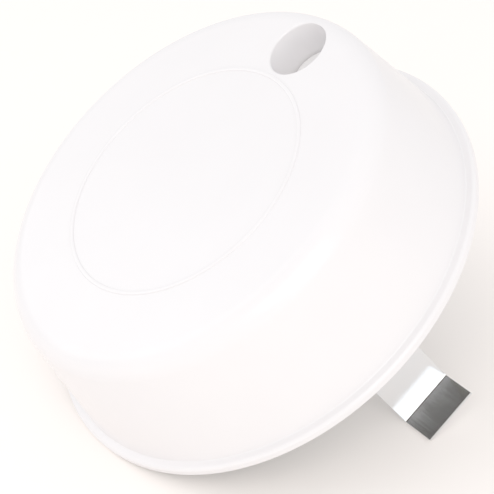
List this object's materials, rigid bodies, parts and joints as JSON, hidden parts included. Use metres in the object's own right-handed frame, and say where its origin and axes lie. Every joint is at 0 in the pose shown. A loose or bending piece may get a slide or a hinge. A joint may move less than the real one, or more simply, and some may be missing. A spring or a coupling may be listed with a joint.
{
  "type": "heat detector",
  "caption": "Round white flush ceiling heat detector: domed cover with a sensing port, flange, base plate, terminal block and two sprung strip clips.",
  "frame": {"origin": "centre of the flange's back plane, which bears on the ceiling around the hole", "axes": "+Z out through the face, away from the ceiling; the clips stand on the Y axis and run towards -Z; the sensing port is on the +X side"},
  "size_m": [0.1016, 0.1016, 0.0568],
  "materials": {
    "white_abs": "bright white glossy moulding",
    "grey_foam": "closed-cell foam, matte dark grey",
    "black_abs": "fine matte black moulding",
    "zinc_spring_steel": "bright zinc-plated spring strip, slightly blue",
    "zinc_screw_steel": "zinc-plated steel",
    "tinned_brass": "tin-plated",
    "green_polyamide": "satin green polyamide",
    "green_board": "green solder mask on glass-fibre laminate",
    "milky_silicone": "milky, soft",
    "black_epoxy": "black epoxy",
    "blue_lacquer": "blue dipped lacquer",
    "relay_case": "cream relay case",
    "aluminium_can": "dark sleeved can",
    "beige_lacquer": "beige lacquer"
  },
  "bodies": {
    "detector": {"cover": "white_abs", "flange_gasket": "grey_foam", "base_plate": "black_abs", "clip_foot_a": "zinc_spring_steel", "clip_foot_b": "zinc_spring_steel", "base_screw_1": "zinc_screw_steel", "base_screw_2": "zinc_screw_steel", "base_screw_3": "zinc_screw_steel", "base_screw_4": "zinc_screw_steel", "board_screw_1": "zinc_screw_steel", "board_screw_2": "zinc_screw_steel", "board_screw_3": "zinc_screw_steel", "clip_screw_a_1": "zinc_screw_steel", "clip_screw_a_2": "zinc_screw_steel", "clip_screw_b_1": "zinc_screw_steel", "clip_screw_b_2": "zinc_screw_steel", "block_screw_1": "zinc_screw_steel", "block_screw_2": "zinc_screw_steel", "terminal_pin_1": "tinned_brass", "terminal_pin_2": "tinned_brass", "terminal_pin_3": "tinned_brass", "terminal_pin_4": "tinned_brass", "sensor_leg_1": "tinned_brass", "sensor_leg_2": "tinned_brass", "terminal_block": "green_polyamide", "circuit_board": "green_board", "sensor_carrier": "milky_silicone", "thermistor_bead": "black_epoxy", "reference_thermistor": "black_epoxy", "microcontroller": "black_epoxy", "bridge_rectifier": "black_epoxy", "surge_varistor": "blue_lacquer", "alarm_relay": "relay_case", "filter_capacitor": "aluminium_can", "resistor_1": "beige_lacquer", "resistor_2": "beige_lacquer", "resistor_3": "beige_lacquer"},
    "clip_a": {"clip_leaf_a": "zinc_spring_steel"},
    "clip_b": {"clip_leaf_b": "zinc_spring_steel"},
    "terminal_screw_1": {"terminal_screw_1": "zinc_screw_steel"},
    "wire_clamp_1": {"wire_clamp_1": "zinc_screw_steel"},
    "terminal_screw_2": {"terminal_screw_2": "zinc_screw_steel"},
    "wire_clamp_2": {"wire_clamp_2": "zinc_screw_steel"},
    "terminal_screw_3": {"terminal_screw_3": "zinc_screw_steel"},
    "wire_clamp_3": {"wire_clamp_3": "zinc_screw_steel"},
    "terminal_screw_4": {"terminal_screw_4": "zinc_screw_steel"},
    "wire_clamp_4": {"wire_clamp_4": "zinc_screw_steel"}
  },
  "joints": [
    {"name": "clip_a_flex", "type": "hinge", "parent": "detector", "child": "clip_a", "pos_m": [0, -0.0304, 0.00035], "axis": [1, 0, 0], "range_deg": [0, 20], "stiffness_Nm_per_rad": 1.5},
    {"name": "clip_b_flex", "type": "hinge", "parent": "detector", "child": "clip_b", "pos_m": [0, 0.0304, 0.00035], "axis": [-1, 0, 0], "range_deg": [0, 20], "stiffness_Nm_per_rad": 1.5},
    {"name": "terminal_screw_1_turn", "type": "hinge", "parent": "detector", "child": "terminal_screw_1", "pos_m": [-0.015, -0.00762, -0.0091], "axis": [0, 0, -1], "range_deg": [0, 1152.1]},
    {"name": "wire_clamp_1_open", "type": "slide", "parent": "detector", "child": "wire_clamp_1", "axis": [0, 0, 1], "range_m": [0, 0.0016]},
    {"name": "terminal_screw_2_turn", "type": "hinge", "parent": "detector", "child": "terminal_screw_2", "pos_m": [-0.015, -0.00254, -0.0091], "axis": [0, 0, -1], "range_deg": [0, 1152.1]},
    {"name": "wire_clamp_2_open", "type": "slide", "parent": "detector", "child": "wire_clamp_2", "axis": [0, 0, 1], "range_m": [0, 0.0016]},
    {"name": "terminal_screw_3_turn", "type": "hinge", "parent": "detector", "child": "terminal_screw_3", "pos_m": [-0.015, 0.00254, -0.0091], "axis": [0, 0, -1], "range_deg": [0, 1152.1]},
    {"name": "wire_clamp_3_open", "type": "slide", "parent": "detector", "child": "wire_clamp_3", "axis": [0, 0, 1], "range_m": [0, 0.0016]},
    {"name": "terminal_screw_4_turn", "type": "hinge", "parent": "detector", "child": "terminal_screw_4", "pos_m": [-0.015, 0.00762, -0.0091], "axis": [0, 0, -1], "range_deg": [0, 1152.1]},
    {"name": "wire_clamp_4_open", "type": "slide", "parent": "detector", "child": "wire_clamp_4", "axis": [0, 0, 1], "range_m": [0, 0.0016]}
  ],
  "couplings": [
    {"joint": "terminal_screw_1_turn", "follows": "wire_clamp_1_open", "rad_per_m": 12566},
    {"joint": "terminal_screw_2_turn", "follows": "wire_clamp_2_open", "rad_per_m": 12566},
    {"joint": "terminal_screw_3_turn", "follows": "wire_clamp_3_open", "rad_per_m": 12566},
    {"joint": "terminal_screw_4_turn", "follows": "wire_clamp_4_open", "rad_per_m": 12566}
  ]
}
